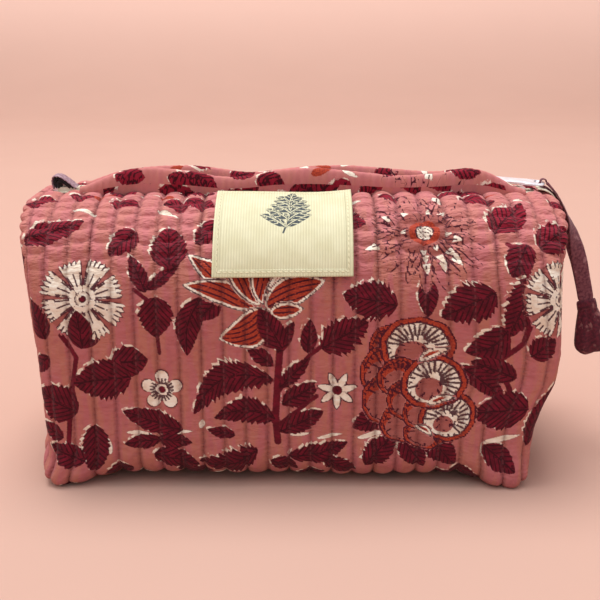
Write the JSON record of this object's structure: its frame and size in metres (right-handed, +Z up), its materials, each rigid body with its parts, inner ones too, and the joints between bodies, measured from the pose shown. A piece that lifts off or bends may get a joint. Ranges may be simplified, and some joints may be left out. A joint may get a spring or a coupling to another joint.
{
  "type": "makeup bag",
  "caption": "Boxed quilted cotton makeup bag with a domed zip-up top, bound zip edges, woven front label and a cloth zip pull.",
  "frame": {"origin": "middle of the flat base, on the surface that the bag stands on", "axes": "+X along the zip towards the end where the slider rests when closed, -Y is the front with the label, +Z up"},
  "size_m": [0.2796, 0.114, 0.1345],
  "materials": {
    "printed_cotton": "block-printed quilted cotton",
    "wadding": "soft cotton wadding",
    "lining_cotton": "plain quilted cotton lining",
    "binding_cotton": "printed cotton binding",
    "zip_tape": "woven cream tape",
    "zip_coil": "nylon coil",
    "zip_metal": "bright plated metal",
    "label_weave": "woven cream label",
    "strap_cotton": "dyed cotton",
    "end_ribbon": "folded ribbon"
  },
  "bodies": {
    "root": {"shell_outer": "printed_cotton", "shell_wadding": "wadding", "shell_lining": "lining_cotton", "left_seam_binding": "binding_cotton", "right_seam_binding": "binding_cotton", "left_corner_binding": "binding_cotton", "right_corner_binding": "binding_cotton", "left_end_tab": "end_ribbon", "top_stops": "zip_metal", "bottom_stop": "zip_metal", "front_binding_ends": "binding_cotton", "front_zip_tape_ends": "zip_tape", "front_zip_coil_ends": "zip_coil", "rear_binding_ends": "binding_cotton", "rear_zip_tape_ends": "zip_tape", "rear_zip_coil_ends": "zip_coil"},
    "front_flap": {"front_flap_outer": "printed_cotton", "front_flap_wadding": "wadding", "front_flap_lining": "lining_cotton", "front_binding": "binding_cotton", "front_zip_tape": "zip_tape", "front_zip_coil": "zip_coil", "label": "label_weave"},
    "rear_flap": {"rear_flap_outer": "printed_cotton", "rear_flap_wadding": "wadding", "rear_flap_lining": "lining_cotton", "rear_binding": "binding_cotton", "rear_zip_tape": "zip_tape", "rear_zip_coil": "zip_coil"},
    "slider": {"slider_body": "zip_metal", "slider_bridge": "zip_metal"},
    "pull_tab": {"pull_tab": "zip_metal"},
    "pull_strap": {"pull_strap": "strap_cotton", "pull_end": "strap_cotton"}
  },
  "joints": [
    {"name": "front_flap_hinge", "type": "hinge", "parent": "root", "child": "front_flap", "pos_m": [0, -0.0573, 0.09], "axis": [1, 0, 0], "range_deg": [0, 60]},
    {"name": "rear_flap_hinge", "type": "hinge", "parent": "root", "child": "rear_flap", "pos_m": [0, 0.0573, 0.09], "axis": [-1, 0, 0], "range_deg": [0, 60]},
    {"name": "slider_slide", "type": "slide", "parent": "root", "child": "slider", "axis": [-1, 0, 0], "range_m": [0, 0.184], "deforming": ["pull_strap", "pull_end"]},
    {"name": "pull_tab_hinge", "type": "hinge", "parent": "slider", "child": "pull_tab", "pos_m": [0.092, 0, 0.1307], "axis": [0, -1, 0], "range_deg": [0, 160]},
    {"name": "pull_strap_hinge", "type": "hinge", "parent": "pull_tab", "child": "pull_strap", "pos_m": [0.11915, 0, 0.12832], "axis": [0, -1, 0], "range_deg": [0, 85]}
  ]
}
